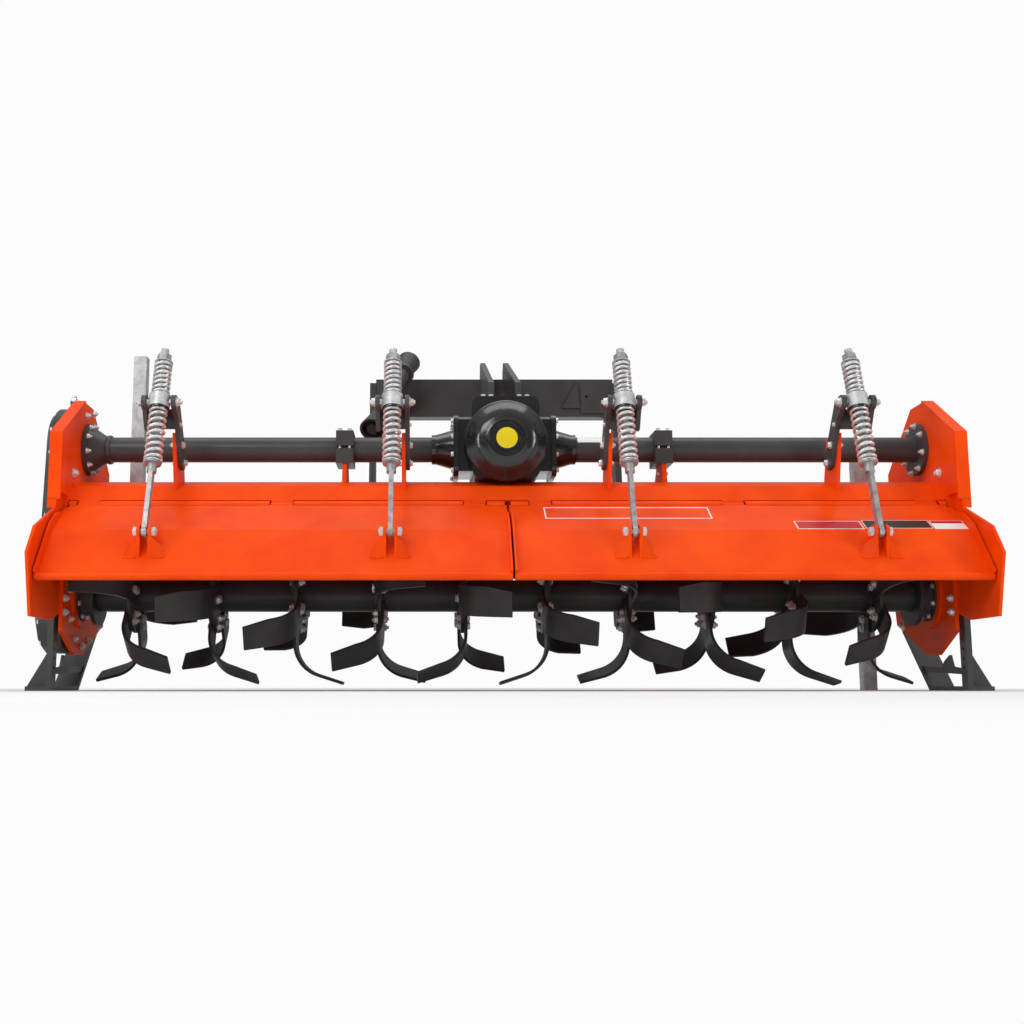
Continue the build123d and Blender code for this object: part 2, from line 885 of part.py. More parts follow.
def rotor_blades():
    """Flanges with six blades each, alternately bent to the right and to the left."""
    with BuildPart() as blades:
        with BuildSketch(*[axis_plane(x - rotor_flange_thick / 2, 0, rotor_height) for x in flange_places]):
            Circle(rotor_flange_radius)
            Circle(rotor_tube_radius + weld_gap, mode=Mode.SUBTRACT)
        extrude(amount=rotor_flange_thick)
        for way, start in ((1, blade_phase), (-1, blade_phase + 60)):
            shape = blade(way)
            places = [
                Location((x, rotor_y, rotor_height), (start + index * blade_step + third, 0, 0))
                for index, x in enumerate(flange_places)
                for third in (0, 120, 240)
            ]
            with Locations(*places):
                add(shape)
    return blades.part


# ---- drive shaft guard, stowed across the hitch in a ring on the beam ----
guard_low_side = 387.0
guard_low_reach = 110.0
guard_low_rise = 183.0  # above the hood
guard_high_side = 283.0
guard_high_back = 44.0  # behind the beam
guard_high_rise = 47.0  # above the beam
guard_radius = 27.0
bell_radius = 38.0
bell_length = 70.0
bell_bore = 31.0
bell_sink = 20.0
shaft_radius = 16.0
holder_wall = 8.0
holder_ring = 10.0
holder_width = 30.0
holder_at = 82.0  # from the upper mouth down the guard


# ---- hitch ----
hitch_half = 412.0
leg_wall = 20.0
beam_rear = 474.0
beam_front = 530.0
beam_top = 1019.0
beam_depth = 127.0
beam_wall = 10.0
corner_radius = 55.0
hitch_pin = 14.3
hitch_pin_reach = 515.0
hitch_pin_height = 432.0
hitch_pin_length = 110.0
beam_low = beam_top - beam_depth
leg_outline = [
    (beam_rear, beam_low),
    (beam_rear, beam_top - 12),
    (beam_front, beam_top - 12),
    (beam_front, 560),
    (front_reach, 500),
    (front_reach, 400),
    (520, 370),
    (plate_front + 4, 400),
    (plate_front - 5, 470),
    (300, 560),
    (440, 640),
]
mast_wall = 16.0
mast_half = 38.0
link_bore = 12.9
link_inset = 16.0  # link axis in front of the beam's rear face
link_rise = 23.0  # link axis above the beam
link_margin = 33.0
mast_rear = -78.0
mast_rear_depth = 48.0
mast_front_depth = 34.0
link_reach = beam_rear + link_inset
link_height = beam_top + link_rise
mast_outline = [
    (mast_rear, gearbox_top),
    (60, gearbox_top),
    (beam_rear, beam_top - mast_front_depth),
    (beam_rear, beam_top),
    (beam_front, beam_top),
    (beam_front, link_height),
    (link_reach + link_margin / 2, link_height + link_margin),
    (link_reach - link_margin / 2, link_height + link_margin),
    (mast_rear, gearbox_top + mast_rear_depth),
]
guard_low = Vector(-guard_low_side, guard_low_reach + rotor_y, hood_top + guard_low_rise)
guard_high = Vector(-guard_high_side, beam_rear - guard_high_back + rotor_y, beam_top + guard_high_rise)
guard_way = (guard_high - guard_low).normalized()
guard_length = (guard_high - guard_low).length


def guard_plane(along):
    """A plane across the guard; local y leans forwards and down, towards the beam."""
    across = Vector(1, 0, 0) - guard_way * guard_way.X
    return Plane(origin=guard_low + guard_way * along, x_dir=across, z_dir=guard_way)


def hitch_beam():
    """A channel open to the front, between the two legs, with the ring that holds the stowed shaft guard."""
    channel = [(beam_front, beam_top), (beam_rear, beam_top), (beam_rear, beam_low), (beam_front, beam_low)]
    half = hitch_half - leg_wall
    ring = guard_plane(guard_length - holder_at)
    lug_length = (beam_rear + rotor_y - ring.origin.Y) / ring.y_dir.Y + beam_wall / 2
    with BuildPart() as beam:
        with BuildSketch(Plane.YZ.offset(-half)):
            Polygon(*yz(band(channel, -beam_wall)), align=None)
        extrude(amount=2 * half)
        with BuildSketch(ring):
            Circle(guard_radius + weld_gap + holder_ring)
            with Locations((0, lug_length / 2)):
                Rectangle(holder_width, lug_length)
            Circle(guard_radius + weld_gap, mode=Mode.SUBTRACT)
        extrude(amount=holder_wall / 2, both=True)
    return beam.part


def lower_hitch(side):
    """Leg plate with its corner plate under the beam and the lower hitch pin."""
    inner = hitch_half - leg_wall
    with BuildPart() as leg:
        with BuildSketch(Plane.YZ.offset(side * inner)):
            Polygon(*yz(leg_outline), align=None)
        extrude(amount=side * leg_wall)
        with BuildSketch(facing_rear(beam_rear + beam_wall, beam_low)):
            Polygon(
                (side * inner, 0),
                (side * inner, -corner_radius),
                (side * (inner - corner_radius), 0),
                align=None,
            )
            with Locations((side * (inner - corner_radius), -corner_radius)):
                Circle(corner_radius, mode=Mode.SUBTRACT)
        extrude(amount=beam_wall)
        with BuildSketch(axis_plane(side * hitch_half, hitch_pin_reach, hitch_pin_height)):
            Circle(hitch_pin)
        extrude(amount=side * hitch_pin_length)
    return leg.part


def top_link_mast():
    with BuildPart() as mast:
        for side in (-1, 1):
            with BuildSketch(Plane.YZ.offset(side * mast_half - mast_wall / 2)):
                Polygon(*yz(mast_outline), align=None)
                with Locations((link_reach + rotor_y, link_height)):
                    Circle(link_bore, mode=Mode.SUBTRACT)
            extrude(amount=mast_wall)
    return mast.part


# ---- drive shaft guard ----
def drive_shaft_guard():
    with BuildPart() as guard:
        with BuildSketch(guard_plane(bell_length)):
            Circle(guard_radius)
        extrude(amount=guard_length - 2 * bell_length)
        for mouth, way in ((0, 1), (guard_length, -1)):
            with BuildSketch(guard_plane(mouth)):
                Circle(bell_radius)
            with BuildSketch(guard_plane(mouth + way * bell_length)):
                Circle(guard_radius)
            loft()
            with BuildSketch(guard_plane(mouth)):
                Circle(bell_bore)
                Circle(shaft_radius, mode=Mode.SUBTRACT)
            extrude(amount=way * bell_sink, mode=Mode.SUBTRACT)
    return guard.part


# ---- skids ----
def skid(side):
    foot_line = [(post_reach - post_depth / 2, 0), (skid_kink, 0), runner_end]
    post_front = post_reach + post_depth / 2
    on_runner = toward((skid_kink, 0), runner_end, 90)
    strut_outline = [
        (post_front - seam, 44),
        (on_runner[0], on_runner[1] - 8),
        (on_runner[0], on_runner[1] + 8),
        (-10, 66),
        (-20, 80),
        (-60, 98),
        (-75, 66),
        (post_front - seam, 60),
    ]
    with BuildPart() as skid_bar:
        with BuildSketch(Plane.YZ.offset(side * end_outer)):
            Polygon(*yz(band(foot_line, -skid_thick)), align=None)
        extrude(amount=side * skid_width)
        with BuildSketch(Plane.YZ.offset(side * end_outer)):
            Polygon(
                *yz([
                    (post_front - post_depth, skid_thick - seam),
                    (post_front, skid_thick - seam),
                    (post_front, post_top),
                    (post_front - post_depth, post_top),
                ]),
                align=None,
            )
            with Locations(*yz([(post_reach, height) for height in post_holes])):
                Circle(post_hole, mode=Mode.SUBTRACT)
        extrude(amount=side * post_wall)
        with BuildSketch(Plane.YZ.offset(side * (end_outer + post_wall / 2 - strut_wall / 2))):
            Polygon(*yz(strut_outline), align=None)
        extrude(amount=side * strut_wall)
        with BuildSketch(facing_rear(post_reach - strut_wall / 2, skid_thick - seam)):
            Polygon(
                (side * (end_outer + post_wall - seam), 0),
                (side * (end_outer + skid_width), 0),
                (side * (end_outer + post_wall - seam), 95),
                align=None,
            )
        extrude(amount=-strut_wall)
    return skid_bar.part


# ---- parking stands ----
def stand(side):
    bottom = 0.0 if side > 0 else stand_raised
    with BuildPart() as leg:
        with BuildSketch(Plane.XY.offset(bottom)):
            with Locations((side * stand_x, stand_reach + rotor_y)):
                Rectangle(stand_side, stand_side)
                Rectangle(stand_side - 2 * stand_wall, stand_side - 2 * stand_wall, mode=Mode.SUBTRACT)
        extrude(amount=stand_length)
    return leg.part


def stand_sockets():
    outer = stand_side + 2 * slide_gap + 2 * socket_wall
    inner = stand_side + 2 * slide_gap
    bracket_wall = stand_reach - outer / 2 - plate_front
    bracket_width = side_outer - stand_x + outer / 2
    with BuildPart() as sockets:
        for side in (-1, 1):
            with BuildSketch(Plane.XY.offset(socket_bottom)):
                with Locations((side * stand_x, stand_reach + rotor_y)):
                    Rectangle(outer, outer)
                    Rectangle(inner, inner, mode=Mode.SUBTRACT)
            extrude(amount=socket_height)
            with BuildSketch(Plane.XY.offset(socket_bottom + socket_margin)):
                with Locations((side * (side_outer - bracket_width / 2), plate_front + rotor_y + bracket_wall / 2)):
                    Rectangle(bracket_width, bracket_wall)
            extrude(amount=socket_height - 2 * socket_margin)
    return sockets.part


write("hood", hood())
write("hinge_rods", hinge_rods())
write("end_plates", end_plates())
write("spring_lugs", spring_lugs())
write("spring_yokes", spring_yokes())
write("cross_tubes", cross_tubes())
write("tube_clamps", tube_clamps())
write("clamp_webs", clamp_webs())
write("gearbox_housing", gearbox_housing())
write("gearbox_cover", gearbox_cover())
write("input_shaft", input_shaft())
write("side_gear_case", side_gear_case())
write("rotor_bearings", rotor_bearings())
write("rotor_tube", rotor_tube())
write("rotor_blades", rotor_blades())
write("hitch_beam", hitch_beam())
write("top_link_mast", top_link_mast())
write("drive_shaft_guard", drive_shaft_guard())
write("stand_sockets", stand_sockets())
for name, side in (("left", -1), ("right", 1)):
    write(f"side_plate_{name}", side_plate(side))
    write(f"tailboard_{name}", tailboard(side))
    write(f"clevis_pins_{name}", clevis_pins(side))
    write(f"lower_hitch_{name}", lower_hitch(side))
    write(f"skid_{name}", skid(side))
    write(f"stand_{name}", stand(side))
for name, x in rod_stations.items():
    write(f"spring_rod_{name}", spring_rod(x))
    write(f"collar_{name}", collar(x))
    write(f"springs_{name}", springs(x))
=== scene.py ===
"""Looks of the rotary tiller: materials, bolts, welds, springs, rolled edges, plates and the studio."""
import json
import math

import bpy
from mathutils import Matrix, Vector


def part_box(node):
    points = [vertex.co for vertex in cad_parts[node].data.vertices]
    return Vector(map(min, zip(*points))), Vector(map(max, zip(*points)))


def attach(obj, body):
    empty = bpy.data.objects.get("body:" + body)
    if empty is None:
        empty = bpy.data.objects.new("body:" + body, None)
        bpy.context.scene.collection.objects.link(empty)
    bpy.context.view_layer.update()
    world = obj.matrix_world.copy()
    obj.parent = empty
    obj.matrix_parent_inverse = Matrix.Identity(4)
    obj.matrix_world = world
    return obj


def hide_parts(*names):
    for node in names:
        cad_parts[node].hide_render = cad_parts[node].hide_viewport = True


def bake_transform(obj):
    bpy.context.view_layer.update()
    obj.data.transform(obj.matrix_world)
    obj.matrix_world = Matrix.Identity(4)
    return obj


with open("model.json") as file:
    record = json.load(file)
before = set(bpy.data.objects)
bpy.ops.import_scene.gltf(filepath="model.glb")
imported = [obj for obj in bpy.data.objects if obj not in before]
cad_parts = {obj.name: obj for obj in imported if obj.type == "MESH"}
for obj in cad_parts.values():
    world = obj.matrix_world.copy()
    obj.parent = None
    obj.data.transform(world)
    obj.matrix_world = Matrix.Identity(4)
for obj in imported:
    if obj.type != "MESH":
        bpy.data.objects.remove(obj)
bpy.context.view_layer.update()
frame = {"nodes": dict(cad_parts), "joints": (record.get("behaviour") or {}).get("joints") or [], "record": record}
record = frame["record"]
nodes = frame["nodes"]
joints = {joint["name"]: joint for joint in frame["joints"]}

MM = 0.001
BACKDROP = 0.97  # brightness of the white that the camera sees behind the machine


# ---- materials ----
def new_material(name):
    """An empty node material with its Principled shader; returns (material, tree, shader)."""
    material = bpy.data.materials.new(name)
    material.use_nodes = True
    tree = material.node_tree
    return material, tree, tree.nodes["Principled BSDF"]


def noise(tree, scale, detail=4.0):
    """A noise texture in object coordinates, so that it stays on the piece as it moves."""
    coordinates = tree.nodes.new("ShaderNodeTexCoord")
    texture = tree.nodes.new("ShaderNodeTexNoise")
    texture.inputs["Scale"].default_value = scale
    texture.inputs["Detail"].default_value = detail
    texture.inputs["Roughness"].default_value = 0.55
    tree.links.new(coordinates.outputs["Object"], texture.inputs["Vector"])
    return texture


def ramp(tree, source, low, high, start=0.35, end=0.65):
    """Turns a value into a colour or grey between low and high."""
    node = tree.nodes.new("ShaderNodeValToRGB")
    node.color_ramp.elements[0].position = start
    node.color_ramp.elements[1].position = end
    node.color_ramp.elements[0].color = low
    node.color_ramp.elements[1].color = high
    tree.links.new(source, node.inputs["Fac"])
    return node


def grey(value):
    """A grey as the colour that a node takes."""
    return (value, value, value, 1.0)


def add_bump(tree, shader, height, strength, distance):
    """Lets a texture tilt the shader's normal."""
    bump = tree.nodes.new("ShaderNodeBump")
    bump.inputs["Strength"].default_value = strength
    bump.inputs["Distance"].default_value = distance
    tree.links.new(height, bump.inputs["Height"])
    tree.links.new(bump.outputs["Normal"], shader.inputs["Normal"])


def dress(tree, shader, spots, dark, light, grain, smoothest, roughest):
    """Colour from one texture and roughness from a finer one."""
    colour = ramp(tree, spots.outputs["Fac"], (*dark, 1.0), (*light, 1.0))
    tree.links.new(colour.outputs["Color"], shader.inputs["Base Color"])
    gloss = ramp(tree, grain.outputs["Fac"], grey(smoothest), grey(roughest))
    tree.links.new(gloss.outputs["Color"], shader.inputs["Roughness"])


def painted(name, dark, light, rough, coat, shine=0.25, grain=260.0, wave=7.0, peel_depth=0.0004):
    """Sprayed paint: slow colour drift, fine orange peel and a clear gloss."""
    material, tree, shader = new_material(name)
    drift = noise(tree, wave, detail=3.0)
    peel = noise(tree, grain, detail=2.0)
    dress(tree, shader, drift, dark, light, peel, rough - 0.05, rough + 0.08)
    add_bump(tree, shader, peel.outputs["Fac"], 0.12, peel_depth)
    shader.inputs["Specular IOR Level"].default_value = shine
    shader.inputs["Coat Weight"].default_value = coat
    shader.inputs["Coat Roughness"].default_value = 0.12
    return material


def metal(name, dark, light, rough, metallic=0.9, grain=420.0):
    """Plated or machined steel with a fine grain."""
    material, tree, shader = new_material(name)
    spots = noise(tree, grain / 8, detail=5.0)
    fine = noise(tree, grain, detail=3.0)
    dress(tree, shader, spots, dark, light, fine, rough - 0.07, rough + 0.12)
    shader.inputs["Metallic"].default_value = metallic
    add_bump(tree, shader, fine.outputs["Fac"], 0.15, 0.0003)
    return material


LOOKS = {
    "orange_paint": painted(
        "orange_paint_look", (0.84, 0.056, 0.001), (0.92, 0.078, 0.002), 0.36, 0.03, shine=0.08
    ),
    "grey_paint": painted("grey_paint_look", (0.050, 0.050, 0.051), (0.068, 0.068, 0.070), 0.36, 0.06),
    "black_paint": painted(
        "black_paint_look", (0.008, 0.008, 0.009), (0.014, 0.014, 0.015), 0.17, 0.35,
        shine=0.45, grain=110.0, wave=20.0, peel_depth=0.003,
    ),
    "blade_paint": painted("blade_paint_look", (0.028, 0.028, 0.029), (0.048, 0.048, 0.049), 0.42, 0.04),
    "zinc": metal("zinc_look", (0.54, 0.545, 0.55), (0.76, 0.765, 0.77), 0.32, 0.5),
    "steel": metal("steel_look", (0.20, 0.20, 0.21), (0.38, 0.38, 0.39), 0.36),
}
# the rod bars and the stands are duller than the bolts and springs of the same slot
BAR_LOOK = metal("bar_look", (0.27, 0.275, 0.28), (0.48, 0.485, 0.49), 0.42, 0.55)
STAND_LOOK = metal("stand_look", (0.36, 0.365, 0.37), (0.52, 0.525, 0.53), 0.46, 0.5)
OWN_LOOKS = {name: BAR_LOOK for name in nodes if name.startswith("spring_rod_")}
OWN_LOOKS.update({name: STAND_LOOK for name in ("stand_left", "stand_right")})
FILMS = {
    "white_film": painted("white_film_look", (0.78, 0.78, 0.77), (0.86, 0.86, 0.85), 0.35, 0.1),
    "red_film": painted("red_film_look", (0.50, 0.008, 0.014), (0.58, 0.012, 0.020), 0.35, 0.1),
    "black_film": painted("black_film_look", (0.010, 0.010, 0.010), (0.018, 0.018, 0.018), 0.35, 0.1),
    "yellow_film": painted("yellow_film_look", (0.70, 0.56, 0.006), (0.78, 0.64, 0.010), 0.35, 0.1),
}
for entry in record["subparts"]:
    piece = nodes[entry["node"]]
    piece.data.materials.clear()
    piece.data.materials.append(OWN_LOOKS.get(entry["node"]) or LOOKS[entry["material_slot"]])


# ---- piles: small parts of one finish that ride on one body, joined in one mesh ----
SHARP = math.radians(40)  # steeper edges are shaded as edges
RIPPLE = 1.9  # millimetres of weld bead for each ring of points


class Pile:
    """Points and faces of one mesh, the body that it rides on and its finish."""

    def __init__(self, name, body, finish):
        self.name = name
        self.body = body
        self.finish = finish
        self.points = []
        self.faces = []
        self.smooth = []

    def ring(self, points):
        """Adds points and returns their numbers."""
        start = len(self.points)
        self.points.extend(Vector(point) for point in points)
        return list(range(start, len(self.points)))

    def face(self, corners, smooth=False):
        self.faces.append(corners)
        self.smooth.append(smooth)

    def skin(self, rings, smooth=False, closed=False, caps=True):
        """Side faces between rings of equal length, with the two ends filled."""
        pairs = list(zip(rings, rings[1:]))
        if closed:
            pairs.append((rings[-1], rings[0]))
        for low, high in pairs:
            count = len(low)
            for i in range(count):
                j = (i + 1) % count
                self.face((low[i], low[j], high[j], high[i]), smooth)
        if caps and not closed:
            self.face(tuple(reversed(rings[0])))
            self.face(tuple(rings[-1]))

    def finished(self):
        """Makes the object, with its look."""
        mesh = bpy.data.meshes.new(self.name)
        mesh.from_pydata([tuple(point) for point in self.points], [], self.faces)
        mesh.polygons.foreach_set("use_smooth", self.smooth)
        mesh.set_sharp_from_angle(angle=SHARP)
        mesh.update()
        mesh.materials.append(LOOKS.get(self.finish) or FILMS[self.finish])
        piece = bpy.data.objects.new(self.name, mesh)
        bpy.context.scene.collection.objects.link(piece)
        return piece

    def ride(self):
        """Makes the object and lets it ride on its body."""
        piece = self.finished()
        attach(piece, self.body)
        return piece


def basis(direction):
    """Two unit vectors across a direction, and the direction's own."""
    along = Vector(direction).normalized()
    side = along.cross(Vector((0, 0, 1)))
    if side.length < 1e-3:
        side = along.cross(Vector((0, 1, 0)))
    side.normalize()
    return side, along.cross(side), along


def spokes(u, v, count, turn=0.0):
    """Unit vectors all round in the plane of u and v."""
    angles = [turn + math.tau * i / count for i in range(count)]
    return [u * math.cos(angle) + v * math.sin(angle) for angle in angles]


def lathe(pile, place, direction, profile, sides=16, turn=0.0, caps=True):
    """Turns (radius, along) pairs in millimetres about a direction through a place."""
    u, v, w = basis(direction)
    rings = []
    for radius, along in profile:
        centre = Vector(place) + w * along * MM
        rings.append(pile.ring(centre + spoke * radius * MM for spoke in spokes(u, v, sides, turn)))
    pile.skin(rings, smooth=sides > 8, caps=caps)


def washer(pile, place, direction, radius, thick):
    """A disc with its outer edge turned off."""
    lathe(pile, place, direction, [(radius, 0), (radius, thick * 0.7), (radius - thick * 0.3, thick)], 18)


def hexagon(pile, place, direction, radius, height, turn=0.0):
    """A hexagon head or nut with its corners turned off."""
    lathe(pile, place, direction, [(radius, 0), (radius, height * 0.82), (radius * 0.87, height)], 6, turn)


def bolt(pile, place, direction, radius, height, stud=0.0, turn=0.3):
    """Washer and hexagon on a face; a stud length also gives the thread that stands out of a nut."""
    away = Vector(direction).normalized()
    washer(pile, place, direction, radius * 1.25, radius * 0.2)
    seat = Vector(place) + away * radius * 0.2 * MM
    hexagon(pile, seat, direction, radius, height, turn)
    if stud:
        top = seat + away * height * MM
        thread = radius * 0.52
        lathe(pile, top, direction, [(thread, 0), (thread, stud - 1), (radius * 0.42, stud)], 10)


def tube(pile, points, radius, sides=8, closed=False):
    """A round bar along a line of points in metres; the radius in millimetres may change from point to point."""
    rings = []
    side = None
    count = len(points)
    for i, point in enumerate(points):
        ahead = points[(i + 1) % count] if closed or i < count - 1 else point
        behind = points[i - 1] if closed or i > 0 else point
        along = (Vector(ahead) - Vector(behind)).normalized()
        if side is None:
            side = basis(along)[0]
        side = (side - along * side.dot(along)).normalized()
        wide = radius(i) if callable(radius) else radius
        around = spokes(side, along.cross(side), sides)
        rings.append(pile.ring(Vector(point) + spoke * wide * MM for spoke in around))
    pile.skin(rings, smooth=True, closed=closed)


def weld(pile, start, end, size, seed=0.0):
    """A rippled bead of weld metal between two points."""
    start, end = Vector(start), Vector(end)
    steps = max(4, int((end - start).length / (RIPPLE * MM)))
    points = [start.lerp(end, i / steps) for i in range(steps + 1)]

    def wide(i):
        taper = min(1.0, 0.45 + 0.3 * min(i, steps - i))
        return size * taper * (0.84 + 0.16 * math.cos(i * 2.1 + seed) + 0.09 * math.sin(i * 0.73 + 2 * seed))

    tube(pile, points, wide, sides=6)


def sheet(pile, corners, thick):
    """A plate on corners that are given anticlockwise as seen from outside; it is thick millimetres outwards."""
    corners = [Vector(corner) for corner in corners]
    out = (corners[1] - corners[0]).cross(corners[2] - corners[0]).normalized()
    low = pile.ring(corners)
    high = pile.ring(corner + out * thick * MM for corner in corners)
    pile.skin([low, high])


# ---- places taken from the frame ----
rotor_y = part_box("rotor_tube")[0].y / 2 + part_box("rotor_tube")[1].y / 2
tube_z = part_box("gearbox_cover")[0].z / 2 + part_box("gearbox_cover")[1].z / 2
cap_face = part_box("rotor_bearings")[1].x / MM
RODS = ("outer_left", "inner_left", "inner_right", "outer_right")

# faces and axes of the solids in millimetres: x to the right, reach forwards of the rotor axis,
# height above the floor
AXLE = 266  # height of the rotor axis
PLATE_IN, PLATE_OUT = 1207, 1217  # side plates
TUBE_REACH, TUBE_HEIGHT = 17, 692  # axis of the cross tubes
TUBE_FLANGE = 1193
BEARING_FOOT = 1195
CLAMP_X, CLAMP_TOP, CLAMP_SPLIT = 458, 740, 687
WEB_HALF = 6  # half the thickness of the webs under the clamps
PAD_X = 146  # gearbox sides
GEARBOX_TOP = 822
CASE_FACE, CASE_TOP = 1281, 834
CASE_LOW = 0.936  # bolt line of the gear case's lower part as a share of its outline
LUG_NEAR, LUG_FAR, YOKE_FACE = 24, 34, 46  # from a rod's middle towards the machine's
HOOD_SKIN = 589
STAND_X = 1128
BEAM_REAR = 473.9
ROTOR_FLANGES, ROTOR_PITCH, ROTOR_SHIFT, ROTOR_TURN = 10, 231, -6, 19


def at(x, reach, height):
    """A point from millimetres: right, forwards of the rotor axis and above the floor."""
    return Vector((x * MM, rotor_y + reach * MM, height * MM))


def rod_places(half=""):
    """Where the rods of one half or of both stand across the machine, with the way to its middle."""
    for name in RODS:
        if half in name:
            x = joints["collar_" + name + "_turn"]["pos_m"][0] / MM
            yield x, -1 if x > 0 else 1


def circle(reach, height, radius, count, phase):
    """Angle, reach and height of evenly spread places about an axis that runs across the machine."""
    for i in range(count):
        angle = math.tau * (i + phase) / count
        yield angle, reach + radius * math.cos(angle), height + radius * math.sin(angle)


def arc(x, axis, radius, angles):
    """Points on a circle about an axis that runs across the machine; radius in millimetres."""
    return [Vector((x * MM, axis.y + radius * MM * math.cos(a), axis.z + radius * MM * math.sin(a))) for a in angles]


def bent_strip(pile, left, right, axis, outer, inner, angles, smooth=False):
    """A strip of sheet bent about an axis that runs across the machine."""
    rings = [pile.ring(arc(x, axis, outer, angles) + arc(x, axis, inner, angles[::-1])) for x in (left, right)]
    pile.skin(rings, smooth=smooth)


# ---- springs and what is threaded on each rod ----
COIL_STEPS = 26  # points for each turn
COIL_RADIUS, COIL_WIRE = 20.9, 4.3
CLOSED_TURNS, CLOSED_CLIMB = 0.8, 0.36  # the end turns and their climb as a share of the others'
SPRING_STOP, COLLAR_LOW, COLLAR_HIGH, NUT = -182.6, -20.0, 20.0, 128.0  # along a rod from its collar's pivot
THREADS, THREAD_START, THREAD_PITCH = 8, 150.5, 2.3
TRUNNION_END = 46.1


def coil_points(base, along, length, turns):
    """The middle line of a coil spring whose end turns are closed and ground."""
    u, v, w = basis(along)
    count = int(turns * COIL_STEPS)
    climb = [0.0]
    for i in range(count):
        edge = min(i, count - 1 - i) / COIL_STEPS
        climb.append(climb[-1] + (CLOSED_CLIMB if edge < CLOSED_TURNS else 1.0))
    span = length - 2 * COIL_WIRE
    points = []
    for i, rise in enumerate(climb):
        angle = math.tau * i / COIL_STEPS
        height = (COIL_WIRE + span * rise / climb[-1]) * MM
        points.append(Vector(base) + w * height + (u * math.cos(angle) + v * math.sin(angle)) * COIL_RADIUS * MM)
    return points


def rods():
    """The coils, the thread and the spring seats of each rod, and the seals and bolts of its collar."""
    for name in RODS:
        collar = "collar_" + name
        rod = "spring_rod_" + name
        pivot = Vector(joints[collar + "_turn"]["pos_m"])
        along = Vector(joints[rod + "_slide"]["axis"])

        def up(distance):
            return pivot + along * distance * MM

        for part, start, end, turns, moving in (
            ("lower", SPRING_STOP, COLLAR_LOW, 9.3, SPRING_STOP),
            ("upper", COLLAR_HIGH, NUT - 3, 7.6, NUT - 3),
        ):
            pile = Pile(f"spring_{part}_{name}", collar, "zinc")
            tube(pile, coil_points(up(start), along, end - start, turns), COIL_WIRE, sides=9)
            spring = pile.finished()
            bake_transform(spring)
        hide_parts("springs_" + name)

        on_rod = Pile(f"rod_fittings_{name}", rod, "zinc")
        lathe(on_rod, up(NUT - 3), along, [(25, 0), (25, 2.4), (24, 3)], 24)
        thread = []
        for i in range(THREADS):
            root = THREAD_START + THREAD_PITCH * i
            thread += [(10.1, root), (11.0, root + 0.8), (11.0, root + 1.3)]
        lathe(on_rod, up(0), along, thread + [(10.1, 169.5)], 16)
        lathe(on_rod, up(SPRING_STOP), along, [(25.2, -3), (25.4, -2.4), (25.4, -0.4), (25.2, 0)], 24)
        on_rod.ride()

        seal = Pile(f"collar_seal_{name}", collar, "black_paint")
        low_ring = [(28.4, 0), (28.4, -7), (27.6, -8), (26.0, -8), (26.0, 0)]
        lathe(seal, up(COLLAR_LOW), along, low_ring, 28, caps=False)
        lathe(seal, up(COLLAR_HIGH), along, [(28.4, 0), (27.6, 3), (26.0, 3), (26.0, 0)], 28, caps=False)
        seal.ride()

        ends = Pile(f"collar_bolts_{name}", collar, "zinc")
        for side in (-1, 1):
            bolt(ends, pivot + Vector((side * TRUNNION_END * MM, 0, 0)), (side, 0, 0), 11, 9, stud=5)
        ends.ride()


# ---- bolts on the frame ----
YOKE_BOLTS = ((-172, 726, 5.5), (-134, 676, 8.5), (-97, 632, 8.5))  # reach, height and size
PLATE_BOLTS = ((-150, 250), (-150, 212), (196, 190))  # reach and height
CASE_STUDS = ((59, 808), (-11, 787), (-107, 276), (-94, 197), (-46, 144), (21, 125), (90, 142))


